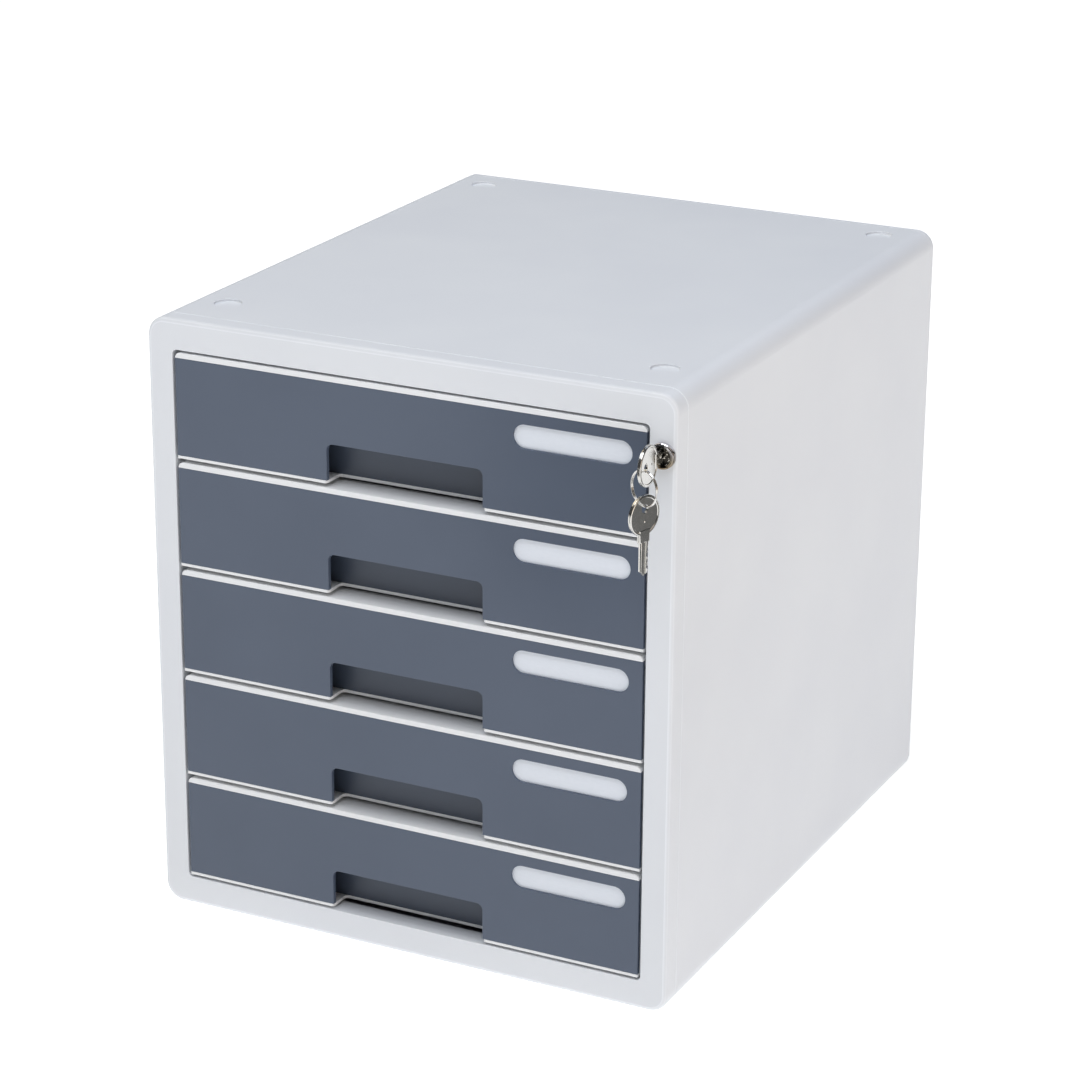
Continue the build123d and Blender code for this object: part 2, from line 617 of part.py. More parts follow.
def make_lock_bar():
    """Upright bar with a fork for the crank pin and one tooth for each drawer."""
    with BuildPart() as lock_bar:
        block((BAR_LEFT, BAR_RIGHT), (BAR_FRONT, BAR_BACK), (BAR_BOTTOM, BAR_TOP))
        slot_z = (PIN_Z - SLOT_H / 2, PIN_Z + SLOT_H / 2)
        block((SLOT_LEFT, BAR_RIGHT), (BAR_FRONT, BAR_BACK), slot_z, mode=Mode.SUBTRACT)
        for number in range(1, DRAWERS + 1):
            tooth_low = underside(number) + TOOTH_RISE
            tooth_x = (BAR_LEFT - TOOTH_REACH, BAR_LEFT)
            block(tooth_x, (BAR_FRONT, BAR_BACK), (tooth_low, tooth_low + TOOTH_H))
    write(lock_bar, "lock_bar")


def screw_seat(back_face, lift):
    """Plane of a bracket's screw head, facing out from the right runner."""
    seat = (RUN_OUT + GUIDE_T, back_face + GUIDE_SCREW_Y, BASE + lift)
    return Plane(origin=seat, z_dir=(1, 0, 0))


def make_bar_guides():
    """Hooked brackets on the right runner that hold the bar upright, and their screws."""
    back_face = BAR_BACK + GUIDE_GAP
    front_face = BAR_FRONT - GUIDE_GAP
    side_face = BAR_RIGHT + GUIDE_GAP
    outer_x = side_face + GUIDE_T
    for number, lift in enumerate(GUIDE_LIFTS, start=1):
        z = (BASE + lift - GUIDE_H / 2, BASE + lift + GUIDE_H / 2)
        with BuildPart() as guide:
            block((RUN_OUT, outer_x), (back_face, back_face + GUIDE_T), z)
            block((side_face, outer_x), (front_face - GUIDE_T, back_face), z)
            block((RUN_OUT, outer_x), (front_face - GUIDE_T, front_face), z)
            block((RUN_OUT, RUN_OUT + GUIDE_T), (back_face, back_face + GUIDE_FOOT), z)
            with Locations(screw_seat(back_face, lift)):
                Hole(SCREW_R + FIT, depth=GUIDE_T)
        write(guide, f"bar_guide_{number}")

    with BuildPart() as guide_screws:
        for lift in GUIDE_LIFTS:
            with Locations(screw_seat(back_face, lift)):
                outwards = (Align.CENTER, Align.CENTER, Align.MIN)
                inwards = (Align.CENTER, Align.CENTER, Align.MAX)
                Cylinder(GUIDE_HEAD_R, GUIDE_HEAD_T, align=outwards)
                Cylinder(SCREW_R, GUIDE_T, align=inwards)
    write(guide_screws, "guide_screws")


# ------------------------------------------------------------------ keys and ring
def make_key(plane, label):
    """Flat key. Local x runs from the bow's centre to the tip, local z is through its thickness."""
    with BuildPart() as key:
        with BuildSketch(plane):
            Circle(BOW_R)
            with Locations((NECK_END / 2, 0)):
                Rectangle(NECK_END, NECK_W)
            with Locations((-HOLE_OUT, 0)):
                Circle(HOLE_R, mode=Mode.SUBTRACT)
        extrude(amount=KEY_T / 2, both=True)
        chamfer(key.edges().filter_by(GeomType.CIRCLE), KEY_EDGE)
        with BuildSketch(plane):
            with BuildLine():
                half = BLADE_W / 2
                Polyline(
                    (NECK_END - BLADE_ROOT, -half),
                    (BLADE_END - half, -half),
                    (BLADE_END, 0),
                    (BLADE_END - half, half),
                    (NECK_END - BLADE_ROOT, half),
                    close=True,
                )
            make_face()
            for step, deep in enumerate(CUT_DEPTHS):
                middle = CUT_FIRST + step * CUT_STEP
                with BuildLine():
                    valley = (middle, half - deep)
                    Polyline((middle - deep, half), valley, (middle + deep, half), close=True)
                make_face(mode=Mode.SUBTRACT)
        extrude(amount=KEY_T / 2, both=True)
        for side in (-1, 1):
            with BuildSketch(plane.offset(side * (KEY_T / 2 - FLUTE_DEEP))):
                with Locations(((NECK_END + BLADE_END) / 2, FLUTE_OFF)):
                    Rectangle(BLADE_END - NECK_END, FLUTE_W)
            extrude(amount=side * FLUTE_DEEP, mode=Mode.SUBTRACT)
    write(key, label)


def make_keys_and_ring():
    """Key in the lock, the ring through its bow, and the spare key hanging from the ring."""
    bow = Vector(LOCK_X, FRONT - BOW_OUT, LOCK_Z)
    make_key(Plane(origin=bow, x_dir=(0, 1, 0), z_dir=(1, 0, 0)), "key_in_lock")

    hole = bow - Vector(0, HOLE_OUT, 0)
    ring_centre = hole - Vector(0, 0, RING_DROP + RING_R)
    turn = radians(RING_TURN)
    ring_plane = Plane(
        origin=ring_centre,
        x_dir=(cos(turn), -sin(turn), 0),
        z_dir=(-sin(turn), -cos(turn), 0),
    )
    with BuildPart(ring_plane) as key_ring:
        Torus(RING_R, WIRE_R)
    write(key_ring, "key_ring")

    face = radians(SPARE_TURN)
    spare_bow = ring_centre - Vector(0, 0, RING_R + RING_DROP + HOLE_OUT)
    spare_plane = Plane(origin=spare_bow, x_dir=(0, 0, -1), z_dir=(sin(face), -cos(face), 0))
    make_key(spare_plane, "spare_key")


make_case_shell()
make_back_cover()
make_feet()
make_front_frame()
make_runner(-1, "runner_left")
make_runner(1, "runner_right")
for drawer in range(1, DRAWERS + 1):
    make_tray(drawer)
    make_panel(drawer)
make_lock_barrel()
make_lock_plug()
make_lock_cam()
make_lock_bar()
make_bar_guides()
make_keys_and_ring()
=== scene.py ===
import json
from math import asin, cos, degrees, radians, sin, tau

import bmesh
import bpy
from mathutils import Matrix, Vector


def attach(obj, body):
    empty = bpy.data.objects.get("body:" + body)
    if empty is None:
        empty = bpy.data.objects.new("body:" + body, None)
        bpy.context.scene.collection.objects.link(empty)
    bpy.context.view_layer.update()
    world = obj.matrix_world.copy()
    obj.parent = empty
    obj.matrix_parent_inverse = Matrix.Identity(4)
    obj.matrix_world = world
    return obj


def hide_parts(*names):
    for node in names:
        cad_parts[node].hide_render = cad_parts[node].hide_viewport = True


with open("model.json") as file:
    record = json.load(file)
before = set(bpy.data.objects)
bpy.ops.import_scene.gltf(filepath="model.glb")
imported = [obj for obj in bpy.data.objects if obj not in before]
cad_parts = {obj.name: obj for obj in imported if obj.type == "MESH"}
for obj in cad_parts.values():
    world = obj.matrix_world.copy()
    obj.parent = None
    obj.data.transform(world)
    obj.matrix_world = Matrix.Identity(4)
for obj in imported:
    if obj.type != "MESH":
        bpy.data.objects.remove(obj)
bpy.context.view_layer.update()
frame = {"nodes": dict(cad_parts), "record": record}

# Looks of the desktop file drawer. Metres, in the row frame: +X right, +Y to the back, +Z up.

MM = 0.001


# ---------------------------------------------------------------- camera
CAMERA_AZIMUTH = radians(26.386)
CAMERA_RISE = radians(19.905)
CAMERA_ROLL = radians(0.384)
CAMERA_DISTANCE = 1.8416
CAMERA_CLIP = (0.05, 50.0)
AIM = Vector((-0.0103, 0.0, 0.1737))
FOCAL_PIXELS = 3369.9
IMAGE_PIXELS = 1080
SENSOR = 36.0


def add_camera():
    """The photograph's camera, solved from the straight edges of the casing and the drawers."""
    back = Vector((
        sin(CAMERA_AZIMUTH) * cos(CAMERA_RISE),
        -cos(CAMERA_AZIMUTH) * cos(CAMERA_RISE),
        sin(CAMERA_RISE),
    ))
    level = Vector((0, 0, 1)).cross(back).normalized()
    up = back.cross(level)
    across = level * cos(CAMERA_ROLL) + up * sin(CAMERA_ROLL)
    data = bpy.data.cameras.new("camera")
    data.sensor_width = SENSOR
    data.lens = FOCAL_PIXELS / IMAGE_PIXELS * SENSOR
    data.clip_start, data.clip_end = CAMERA_CLIP
    camera = bpy.data.objects.new("camera", data)
    turn = Matrix((across, back.cross(across), back)).transposed().to_4x4()
    camera.matrix_world = Matrix.Translation(AIM + back * CAMERA_DISTANCE) @ turn
    bpy.context.scene.collection.objects.link(camera)
    bpy.context.scene.camera = camera


# ---------------------------------------------------------------- light and floor
SURROUND_STRENGTH = 0.05
LIGHT_AIM = (0, 0, 0.15)
# name, place, size, watts, colour
LIGHTS = (
    ("front_light", (0.0, -0.9, 2.2), (1.6, 1.2), 33.0, (0.93, 0.957, 1.0)),
    ("left_light", (-1.6, 0.1, 1.8), (1.2, 1.2), 8.5, (1.0, 0.887, 0.689)),
    ("back_light", (0.3, 1.2, 2.0), (1.2, 1.2), 10.6, (0.70, 0.805, 1.0)),
    ("side_light", (1.75, -0.45, 0.3), (1.0, 1.0), 4.9, (1.0, 0.838, 0.686)),
    ("corner_light", (1.2, -0.55, 1.4), (1.0, 1.0), 1.9, (1.0, 0.87, 0.76)),
)
# name, place, the point it faces, side, grey
CARDS = (
    ("key_card", (0.43, -0.04, 0.155), (0.14, -0.193, 0.273), 0.32, 0.2),
    ("lock_card", (0.045, -0.36, 0.22), (0.14, -0.175, 0.297), 0.14, 0.03),
)
FLOOR_HALF = 9.0
FLOOR_GREY = 0.9
GLOW_NEAR = 0.6  # the floor's own light close to the cabinet
GLOW_FAR = 0.85
GLOW_START = 0.5  # distances from the middle between which it changes
GLOW_END = 1.3


def place_facing(thing, place, aim):
    """Put a light or a card at a place, facing a point."""
    thing.location = place
    thing.rotation_euler = (Vector(aim) - Vector(place)).to_track_quat("-Z", "Y").to_euler()


def add_light(name, place, size, watts, colour):
    """A soft rectangular light."""
    data = bpy.data.lights.new(name, "AREA")
    data.shape = "RECTANGLE"
    data.size, data.size_y = size
    data.energy = watts
    data.color = colour
    light = bpy.data.objects.new(name, data)
    place_facing(light, place, LIGHT_AIM)
    bpy.context.scene.collection.objects.link(light)


def add_sheet(name, half, grey):
    """Square of dull paper that isn't part of the object: the sheet, its shader, its nodes and its links."""
    mesh = bpy.data.meshes.new(name)
    corners = [(-half, -half, 0), (half, -half, 0), (half, half, 0), (-half, half, 0)]
    mesh.from_pydata(corners, [], [(0, 1, 2, 3)])
    sheet = bpy.data.objects.new(name, mesh)
    bpy.context.scene.collection.objects.link(sheet)
    material, shader, nodes, links = new_material(name + "_paper")
    shader.inputs["Base Color"].default_value = (grey, grey, grey, 1)
    shader.inputs["Roughness"].default_value = 1.0
    shader.inputs["Specular IOR Level"].default_value = 0.0
    mesh.materials.append(material)
    return sheet, shader, nodes, links


def add_card(name, place, aim, side, grey):
    """Dark card outside the picture that only the polished metal mirrors."""
    card = add_sheet(name, side / 2, grey)[0]
    place_facing(card, place, aim)
    card.visible_camera = False
    card.visible_diffuse = False
    card.visible_shadow = False
    card.visible_transmission = False


def add_floor():
    """Pale floor whose own faint light grows with the distance from the cabinet."""
    shader, nodes, links = add_sheet("floor", FLOOR_HALF, FLOOR_GREY)[1:]
    shader.inputs["Emission Color"].default_value = (1, 1, 1, 1)
    place = nodes.new("ShaderNodeTexCoord")
    distance = nodes.new("ShaderNodeVectorMath")
    distance.operation = "LENGTH"
    links.new(place.outputs["Object"], distance.inputs[0])
    glow = add_range(nodes, links, distance.outputs["Value"], GLOW_NEAR, GLOW_FAR, (GLOW_START, GLOW_END))
    links.new(glow, shader.inputs["Emission Strength"])


def add_studio():
    """Faint even surround, soft lights, cards for the metal to mirror, and the floor."""
    scene = bpy.context.scene
    scene.view_settings.view_transform = "Standard"
    scene.world = bpy.data.worlds.new("surround")
    scene.world.use_nodes = True
    surround = scene.world.node_tree.nodes["Background"]
    surround.inputs["Color"].default_value = (1, 1, 1, 1)
    surround.inputs["Strength"].default_value = SURROUND_STRENGTH
    for light in LIGHTS:
        add_light(*light)
    for card in CARDS:
        add_card(*card)
    add_floor()


# ---------------------------------------------------------------- shader nodes
COLOUR_SPAN = (0.35, 0.65)  # values of a noise between which a colour changes
GLOSS_SPAN = (0.3, 0.7)  # the same for the roughness
CLOUDS = (14, 3)  # each noise: features per metre, detail
SWELL = (9, 1)
GRAIN_DETAIL = 2
STAIN_DETAIL = 4
SCRATCH_DETAIL = 3
FIBRES = (900, 5)
SWELL_HEIGHT = 0.15 * MM
FIBRE_HEIGHT = 0.004 * MM
FIBRE_STRETCH = (0.35, 1, 1)
PLASTIC_SPECULAR = 0.45


def new_material(name):
    """An empty principled material: the material, its shader, its nodes and its links."""
    material = bpy.data.materials.new(name)
    material.use_nodes = True
    nodes = material.node_tree.nodes
    shader = nodes["Principled BSDF"]
    return material, shader, nodes, material.node_tree.links


def add_noise(nodes, links, scale, detail, stretch=(1, 1, 1)):
    """Noise on the object's own coordinates, in features per metre; stretch squeezes it along an axis."""
    place = nodes.new("ShaderNodeTexCoord")
    mapping = nodes.new("ShaderNodeMapping")
    mapping.inputs["Scale"].default_value = stretch
    links.new(place.outputs["Object"], mapping.inputs["Vector"])
    noise = nodes.new("ShaderNodeTexNoise")
    noise.inputs["Scale"].default_value = scale
    noise.inputs["Detail"].default_value = detail
    links.new(mapping.outputs["Vector"], noise.inputs["Vector"])
    return noise.outputs["Fac"]


def add_ramp(nodes, links, source, low, high, span=COLOUR_SPAN):
    """Colour that goes from low to high as the source goes through the span."""
    ramp = nodes.new("ShaderNodeValToRGB")
    for element, position, colour in zip(ramp.color_ramp.elements, span, (low, high)):
        element.position = position
        element.color = (*colour, 1)
    links.new(source, ramp.inputs["Fac"])
    return ramp.outputs["Color"]


def add_range(nodes, links, source, low, high, span=GLOSS_SPAN):
    """Number that goes from low to high as the source goes through the span."""
    change = nodes.new("ShaderNodeMapRange")
    change.inputs["From Min"].default_value, change.inputs["From Max"].default_value = span
    change.inputs["To Min"].default_value = low
    change.inputs["To Max"].default_value = high
    links.new(source, change.inputs["Value"])
    return change.outputs["Result"]


def add_bump(nodes, links, layers, shader):
    """Bumps from (noise, height in metres) pairs, laid one on the other."""
    normal = None
    for source, height in layers:
        bump = nodes.new("ShaderNodeBump")
        bump.inputs["Strength"].default_value = 1.0
        bump.inputs["Distance"].default_value = height
        links.new(source, bump.inputs["Height"])
        if normal:
            links.new(normal, bump.inputs["Normal"])
        normal = bump.outputs["Normal"]
    links.new(normal, shader.inputs["Normal"])


def add_axis(nodes, links, kind, output, axis):
    """One component of a position or of the surface's direction."""
    source = nodes.new(kind)
    parts = nodes.new("ShaderNodeSeparateXYZ")
    links.new(source.outputs[output], parts.inputs["Vector"])
    return parts.outputs[axis]


def tint(nodes, links, colour, source, stops):
    """The colour multiplied by tints set at values of the source; each stop is (value, tint)."""
    first, last = stops[0][0], stops[-1][0]
    share = add_range(nodes, links, source, 0, 1, (first, last))
    ramp = nodes.new("ShaderNodeValToRGB")
    while len(ramp.color_ramp.elements) < len(stops):
        ramp.color_ramp.elements.new(0.5)
    for element, (value, hue) in zip(ramp.color_ramp.elements, stops):
        element.position = (value - first) / (last - first)
        element.color = (*hue, 1)
    links.new(share, ramp.inputs["Fac"])
    mix = nodes.new("ShaderNodeMix")
    mix.data_type = "RGBA"
    mix.blend_type = "MULTIPLY"
    mix.inputs["Factor"].default_value = 1.0
    links.new(colour, mix.inputs["A"])
    links.new(ramp.outputs["Color"], mix.inputs["B"])
    return mix.outputs["Result"]


# ---------------------------------------------------------------- materials
def greys(*stops):
    """Stops of equal red, green and blue."""
    return tuple((value, (grey, grey, grey)) for value, grey in stops)


# Painted highlight, by the direction of the shell's surface along Y: a brighter line along the rounded front
# edges, and a fainter one on faces turned about halfway from the front.
PAINTED_EDGE_HIGHLIGHT = greys(
    (-1.0, 1), (-0.999, 1), (-0.99, 1.14), (-0.95, 1.03), (-0.88, 1),
    (-0.74, 1), (-0.70, 1.1), (-0.64, 1), (-0.3, 1),
)
# Painted shade, by the place along Y: the fronts are darker inside the finger pocket.
PAINTED_POCKET_SHADE = greys((-0.1725, 1), (-0.170, 1), (-0.166, 0.72), (-0.158, 0.66))
# Painted reflection, by height: the collar is darker and warmer towards its lower side, standing in for the
# warm floor and the dark fronts that it mirrors.
PAINTED_COLLAR_REFLECTION = (
    (0.2900, (0.34, 0.26, 0.17)), (0.2950, (0.30, 0.26, 0.2)),
    (0.2985, (0.35, 0.33, 0.33)), (0.3015, (1, 0.97, 1)),
)


def plastic(name, low, high, roughness, grain, grain_height, painted_highlight=None, depth=None):
    """Moulded plastic: cloudy colour, a fine eroded grain and the faint swell of a large moulding."""
    material, shader, nodes, links = new_material(name)
    cloud = add_noise(nodes, links, *CLOUDS)
    fine = add_noise(nodes, links, grain, GRAIN_DETAIL)
    swell = add_noise(nodes, links, *SWELL)
    colour = add_ramp(nodes, links, cloud, low, high)
    # painted highlight: the colour is brightened where the surface turns away from the front
    if painted_highlight:
        facing = add_axis(nodes, links, "ShaderNodeNewGeometry", "Normal", "Y")
        colour = tint(nodes, links, colour, facing, painted_highlight)
    # painted shade: the colour is darkened by the place along Y, inside the finger pocket
    if depth:
        place = add_axis(nodes, links, "ShaderNodeTexCoord", "Object", "Y")
        colour = tint(nodes, links, colour, place, depth)
    links.new(colour, shader.inputs["Base Color"])
    links.new(add_range(nodes, links, fine, *roughness), shader.inputs["Roughness"])
    shader.inputs["Specular IOR Level"].default_value = PLASTIC_SPECULAR
    add_bump(nodes, links, [(swell, SWELL_HEIGHT), (fine, grain_height * MM)], shader)
    return material


def metal(name, low, high, roughness, scratches, scratch_height,
          stretch=(1, 1, 1), span=COLOUR_SPAN, height=None, stains=350):
    """Plated metal: slight stains in colour and gloss, and fine scratches along one axis."""
    material, shader, nodes, links = new_material(name)
    shader.inputs["Metallic"].default_value = 1.0
    stain = add_noise(nodes, links, stains, STAIN_DETAIL)
    scratch = add_noise(nodes, links, scratches, SCRATCH_DETAIL, stretch)
    colour = add_ramp(nodes, links, stain, low, high, span)
    # painted reflection: the collar's colour changes with height
    if height:
        place = add_axis(nodes, links, "ShaderNodeTexCoord", "Object", "Z")
        colour = tint(nodes, links, colour, place, height)
    links.new(colour, shader.inputs["Base Color"])
    links.new(add_range(nodes, links, stain, *roughness), shader.inputs["Roughness"])
    add_bump(nodes, links, [(scratch, scratch_height * MM)], shader)
    return material


def paper(name, low, high, roughness):
    """White card: long soft fibres in colour and height."""
    material, shader, nodes, links = new_material(name)
    fibre = add_noise(nodes, links, *FIBRES, FIBRE_STRETCH)
    links.new(add_ramp(nodes, links, fibre, low, high), shader.inputs["Base Color"])
    links.new(add_range(nodes, links, fibre, *roughness), shader.inputs["Roughness"])
    add_bump(nodes, links, [(fibre, FIBRE_HEIGHT)], shader)
    return material


def make_materials():
    """One material for each of the record's slots; grains and scratches per metre, their heights in mm."""
    return {
        "white_shell": plastic(
            "shell_plastic", (0.755, 0.775, 0.81), (0.775, 0.795, 0.825), (0.42, 0.52),
            grain=2600, grain_height=0.01, painted_highlight=PAINTED_EDGE_HIGHLIGHT),
        "white_drawer": plastic(
            "drawer_plastic", (0.83, 0.84, 0.85), (0.85, 0.86, 0.87), (0.3, 0.4),
            grain=2600, grain_height=0.006),
        "white_inner": plastic(
            "inner_plastic", (0.70, 0.71, 0.72), (0.72, 0.73, 0.74), (0.4, 0.5),
            grain=2600, grain_height=0.008),
        "grey_panel": plastic(
            "panel_plastic", (0.079, 0.102, 0.148), (0.085, 0.109, 0.157), (0.36, 0.44),
            grain=3000, grain_height=0.008, depth=PAINTED_POCKET_SHADE),
        "label_card": paper(
            "label_paper", (0.765, 0.803, 0.865), (0.785, 0.822, 0.882), (0.55, 0.75)),
        "foot_rubber": plastic(
            "foot_rubber", (0.03, 0.03, 0.03), (0.05, 0.05, 0.05), (0.7, 0.85),
            grain=3500, grain_height=0.03),
        "chrome_collar": metal(
            "collar_chrome", (0.72, 0.72, 0.73), (0.8, 0.8, 0.8), (0.06, 0.14),
            scratches=1500, scratch_height=0.002, height=PAINTED_COLLAR_REFLECTION),
        # the core's colour: mostly near black, with small bright specks
        "lock_core": metal(
            "core_dark_specked_metal", (0.05, 0.046, 0.04), (0.9, 0.86, 0.78), (0.12, 0.2),
            scratches=900, scratch_height=0.04, span=(0.58, 0.63), stains=900),
        "zinc_steel": metal(
            "zinc_steel", (0.52, 0.53, 0.56), (0.66, 0.67, 0.70), (0.25, 0.45),
            scratches=700, scratch_height=0.01, stretch=(1, 1, 0.1)),
        "key_brass": metal(
            "wafer_brass", (0.62, 0.46, 0.2), (0.72, 0.56, 0.28), (0.3, 0.45),
            scratches=700, scratch_height=0.01),
        "key_metal": metal(
            "key_nickel", (0.58, 0.57, 0.54), (0.64, 0.63, 0.60), (0.15, 0.23),
            scratches=1500, scratch_height=0.004, stretch=(1, 1, 0.2)),
        "ring_wire": metal(
            "ring_nickel", (0.62, 0.61, 0.59), (0.72, 0.71, 0.69), (0.08, 0.16),
            scratches=1500, scratch_height=0.002),
    }


materials = make_materials()


def dress_nodes():
    """Give each CAD node the material of its slot."""
    slots = {part["node"]: part["material_slot"] for part in frame["record"]["subparts"]}
    for name, node in frame["nodes"].items():
        node.data.materials.clear()
        node.data.materials.append(materials[slots[name]])


# ---------------------------------------------------------------- mesh helpers, in millimetres
SHARPEST_MITRE = 0.2  # limits how far an outline's sharp corner moves


def inset(loop, depth):
    """The outline moved into its own material: outer loops turn left, holes turn right."""
    moved = []
    for before, here, after in zip(loop[-1:] + loop[:-1], loop, loop[1:] + loop[:1]):
        one = Vector((here[0] - before[0], here[1] - before[1])).normalized()
        two = Vector((after[0] - here[0], after[1] - here[1])).normalized()
        left = Vector((-one.y, one.x)) + Vector((-two.y, two.x))
        step = left * (depth / max(1 + one.dot(two), SHARPEST_MITRE))
        moved.append((here[0] + step.x, here[1] + step.y))
    return moved


def add_slab(bm, levels):
    """Closed solid from outlines at rising heights; each level is (height, [outer loop, holes])."""
    rings = [
        [[bm.verts.new((u, v, height)) for u, v in loop] for loop in loops]
        for height, loops in levels
    ]
    for low, high in zip(rings, rings[1:]):
        for under, over in zip(low, high):
            for n in range(len(under)):
                m = (n + 1) % len(under)
                bm.faces.new((under[n], under[m], over[m], over[n]))
    for level in (rings[0], rings[-1]):
        edges = [bm.edges.get((loop[n - 1], loop[n])) for loop in level for n in range(len(loop))]
        bmesh.ops.triangle_fill(bm, use_beauty=True, use_dissolve=False, edges=edges)


def arc(centre, radius, start, end, count):
    """Points on a circle of the plane, angles in degrees."""
    turns = [radians(start + (end - start) * n / (count - 1)) for n in range(count)]
    return [(centre[0] + radius * cos(turn), centre[1] + radius * sin(turn)) for turn in turns]


def plane_matrix(origin, along, thick):
    """Place of a flat piece: local x goes along, local z through the thickness."""
    x, z = Vector(along).normalized(), Vector(thick).normalized()
    turn = Matrix((x, z.cross(x), z)).transposed().to_4x4()
    return Matrix.Translation(Vector(origin) * MM) @ turn


def finish_piece(bm, name, place, node, slot, sharp):
    """Turn the mesh into a piece that takes the place of the CAD node and rides the body of that name."""
    bmesh.ops.recalc_face_normals(bm, faces=bm.faces)
    mesh = bpy.data.meshes.new(name)
    bm.to_mesh(mesh)
    bm.free()
    mesh.transform(place @ Matrix.Scale(MM, 4))
    mesh.shade_smooth()
    mesh.set_sharp_from_angle(angle=radians(sharp))
    mesh.materials.append(materials[slot])
    piece = bpy.data.objects.new(name, mesh)
    bpy.context.scene.collection.objects.link(piece)
    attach(piece, node)
    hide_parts(node)


# ---------------------------------------------------------------- keys, in millimetres
# A key lies flat around its bow's centre: u goes to the tip, v across, and the height is the thickness.
KEY_BOW = (140.0, -190.1, 296.8)
SPARE_BOW = (140.0, -193.4, 273.3)
SPARE_TURN = radians(72)
KEY_SHARP = 32
KEY_HALF_T = 1.0  # half the key's thickness
BOW_R = 10.2
BOW_POINTS = 72
BOW_HALF_T = 0.68  # half the thickness left in the bow's recess
BOW_SKIN = 0.04  # how far the bow's core stays inside the rim around it
HOLE_U = -3.3
HOLE_R = 2.1
HOLE_POINTS = 24
HOLE_EDGE = 0.12
RECESS_R = 8.6
RECESS_POINTS = 64
RECESS_WALL = 0.35
CHORD = 7.0  # the neck's end stands in the recess up to this straight edge
# height, as a share of half the thickness, then how far the rim's outer and inner side move into it
RIM = ((0.30, 0.0, 0.0), (0.66, 0.10, 0.0), (0.88, 0.32, 0.22), (1.0, 0.70, RECESS_WALL))
NECK_HALF = 3.6
NECK_END = 13.6
NECK_ROUND = 0.7
NECK_POINTS = 5
STUD_U = 3.06
STUD_R = 0.55
STUD_RISE = 0.28
STUD_SINK = 0.05
STUD_LEVELS = 4
STUD_TILT = 28  # degrees of the dome between two levels
STUD_POINTS = 24
BLADE_HALF = 2.5
BLADE_ROOT = NECK_END - 1.5
BLADE_TIP = 30.4
BLADE_HALF_T = 0.95
TIP_BLUNT = 0.4
FLUTE_LOW = -0.3
FLUTE_HIGH = 1.0
FLUTE_HALF_T = 0.5
FLUTE_LAP = 0.3  # how far the flute's floor runs under its two sides
FLUTE_BEVEL = 0.05
BACK_BEVEL = 0.3
CUT_BEVEL = 0.22
CUTS = ((17.3, 0.9), (20.25, 1.2), (23.2, 0.7), (26.15, 1.1))  # middle along u, depth
CUT_FLAT = 0.35  # half the flat floor of a cut
BEVEL_STEPS = ((0.0, 1.0), (0.29, 0.42), (1.0, 0.0))  # shares of the bevel: up, and in from the side


def bow_outline():
    """The bow's circle and the neck, up to where the blade starts."""
    join = degrees(asin(NECK_HALF / BOW_R))
    side = NECK_HALF - NECK_ROUND
    loop = arc((0, 0), BOW_R, join, 360 - join, BOW_POINTS)
    loop += arc((NECK_END - NECK_ROUND, -side), NECK_ROUND, -90, 0, NECK_POINTS)
    loop += arc((NECK_END - NECK_ROUND, side), NECK_ROUND, 0, 90, NECK_POINTS)
    return loop


def recess_outline():
    """The sunk face of the bow, a circle cut off straight where the neck's end stands, turning right."""
    join = degrees(asin(NECK_HALF / RECESS_R))
    loop = arc((0, 0), RECESS_R, join, 360 - join, RECESS_POINTS)
    loop += [(CHORD, -NECK_HALF), (CHORD, NECK_HALF)]
    return loop[::-1]


def tip_at(v):
    """How far the pointed blade reaches at a place across it."""
    return BLADE_TIP - max(abs(v), TIP_BLUNT)


def blade_strip(low, high, cut=False):
    """Outline of one lengthwise strip of the blade, pointed at the tip."""
    loop = [(BLADE_ROOT, low), (tip_at(low), low)]
    if low < 0 < high:
        loop.append((BLADE_TIP, 0))
    loop.append((tip_at(high), high))
    if cut:
        for middle, deep in reversed(CUTS):
            loop += [(middle + deep + CUT_FLAT, high), (middle + CUT_FLAT, high - deep)]
            loop += [(middle - CUT_FLAT, high - deep), (middle - deep - CUT_FLAT, high)]
    loop.append((BLADE_ROOT, high))
    return loop


def mirrored(levels):
    """The levels of one face and, first, the same ones on the other face."""
    return [(-height, loops) for height, loops in reversed(levels)] + levels


def add_strip(bm, outline, half, bevel):
    """Flat strip whose two rims are rounded in three steps."""
    upper = [(half - bevel * up, [inset(outline, bevel * side)]) for up, side in reversed(BEVEL_STEPS)]
    add_slab(bm, mirrored(upper))


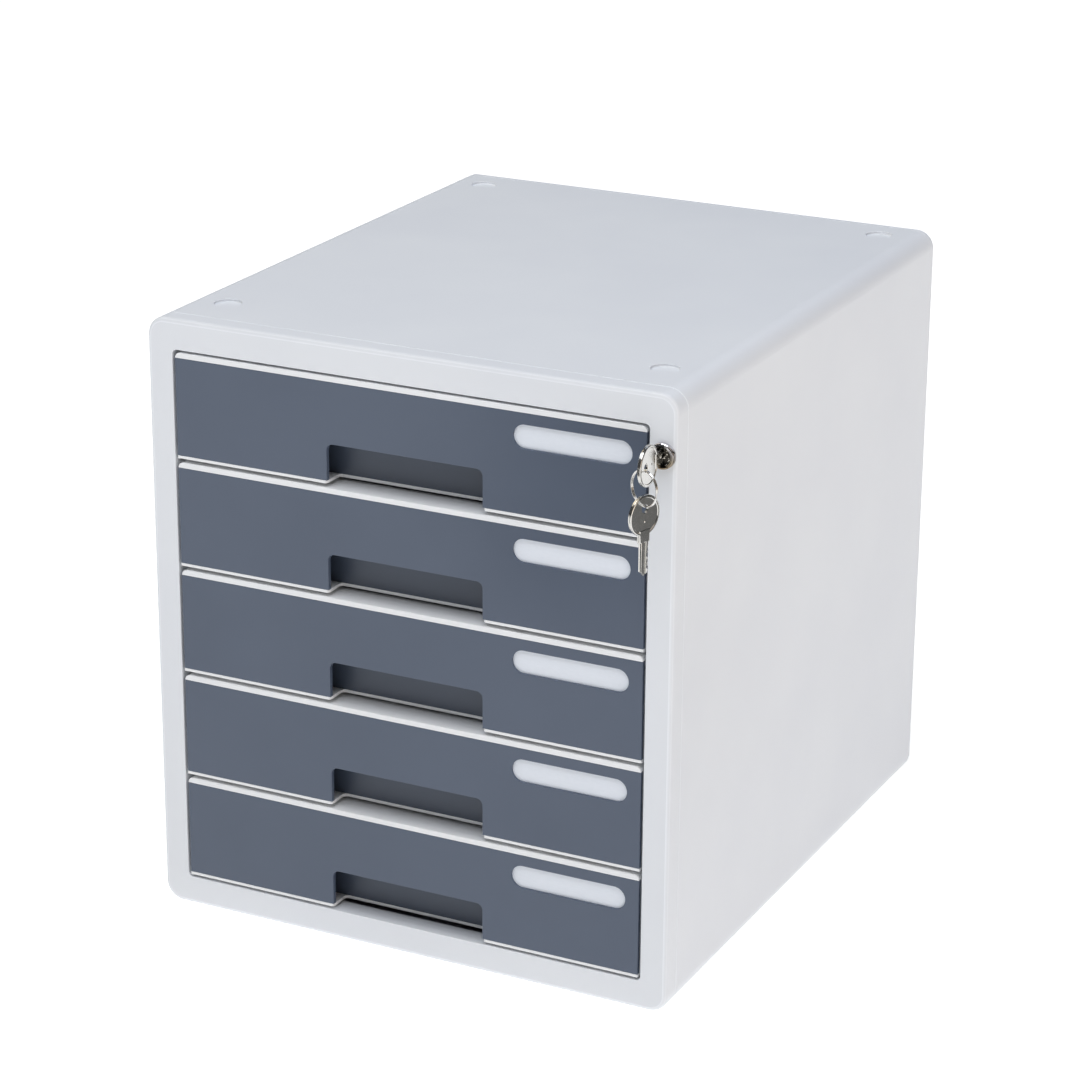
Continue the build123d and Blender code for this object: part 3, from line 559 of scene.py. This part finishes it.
def make_key(node, origin, along, thick):
    """Key with a sunk face in the bow, a rounded rim, a fluted blade with cuts and a small stud."""
    bm = bmesh.new()
    outer, recess = bow_outline(), recess_outline()
    hole = arc((HOLE_U, 0), HOLE_R, 360, 360 / HOLE_POINTS, HOLE_POINTS)
    core = inset(outer, BOW_SKIN)
    add_slab(bm, mirrored([
        (BOW_HALF_T - HOLE_EDGE, [core, hole]),
        (BOW_HALF_T, [core, inset(hole, HOLE_EDGE)]),
    ]))
    add_slab(bm, mirrored([
        (height * KEY_HALF_T, [inset(outer, side), inset(recess, wall)])
        for height, side, wall in RIM
    ]))
    add_strip(bm, blade_strip(-BLADE_HALF, FLUTE_LOW), BLADE_HALF_T, BACK_BEVEL)
    add_strip(bm, blade_strip(FLUTE_LOW - FLUTE_LAP, FLUTE_HIGH + FLUTE_LAP), FLUTE_HALF_T, FLUTE_BEVEL)
    add_strip(bm, blade_strip(FLUTE_HIGH, BLADE_HALF, True), BLADE_HALF_T, CUT_BEVEL)
    tilts = [radians(STUD_TILT * n) for n in range(STUD_LEVELS)]
    dome = [
        (BOW_HALF_T - STUD_SINK + STUD_RISE * sin(tilt),
         [arc((STUD_U, 0), STUD_R * cos(tilt), 0, 360 - 360 / STUD_POINTS, STUD_POINTS)])
        for tilt in tilts
    ]
    add_slab(bm, [(-height, loops) for height, loops in reversed(dome)])
    add_slab(bm, dome)
    place = plane_matrix(origin, along, thick)
    finish_piece(bm, node + "_detail", place, node, "key_metal", KEY_SHARP)


# ---------------------------------------------------------------- ring, in millimetres
RING_CENTRE = (140.0, -193.4, 286.7)
RING_TURN = radians(24)
RING_SHARP = 50
RING_R = 8.9
RING_WIRE = 0.4
RING_PITCH = 0.74
RING_STEPS = 180
WIRE_SIDES = 12
CROSSOVER = radians(50)
RING_GAP = radians(14)  # what the wire lacks of two whole turns


def make_ring(origin, along, normal):
    """Split ring: two turns of wire side by side, with a crossover where they change sides."""
    bm = bmesh.new()
    full = 2 * tau - RING_GAP
    rows = []
    for n in range(RING_STEPS + 1):
        turn = full * n / RING_STEPS
        share = min(max((turn - (tau - CROSSOVER)) / CROSSOVER, 0), 1)
        shift = RING_PITCH * (share * share * (3 - 2 * share) - 0.5)
        out = Vector((cos(turn), sin(turn), 0))
        centre = out * RING_R + Vector((0, 0, shift))
        row = []
        for m in range(WIRE_SIDES):
            around = tau * m / WIRE_SIDES
            row.append(bm.verts.new(centre + (out * cos(around) + Vector((0, 0, sin(around)))) * RING_WIRE))
        rows.append(row)
    for one, two in zip(rows, rows[1:]):
        for m in range(WIRE_SIDES):
            bm.faces.new((one[m - 1], one[m], two[m], two[m - 1]))
    bm.faces.new(rows[0])
    bm.faces.new(rows[-1][::-1])
    place = plane_matrix(origin, along, normal)
    finish_piece(bm, "key_ring_coil", place, "key_ring", "ring_wire", RING_SHARP)


dress_nodes()
make_key("key_in_lock", KEY_BOW, along=(0, 1, 0), thick=(1, 0, 0))
make_key("spare_key", SPARE_BOW, along=(0, 0, -1), thick=(sin(SPARE_TURN), -cos(SPARE_TURN), 0))
make_ring(
    RING_CENTRE,
    along=(cos(RING_TURN), -sin(RING_TURN), 0),
    normal=(-sin(RING_TURN), -cos(RING_TURN), 0),
)
add_camera()
add_studio()
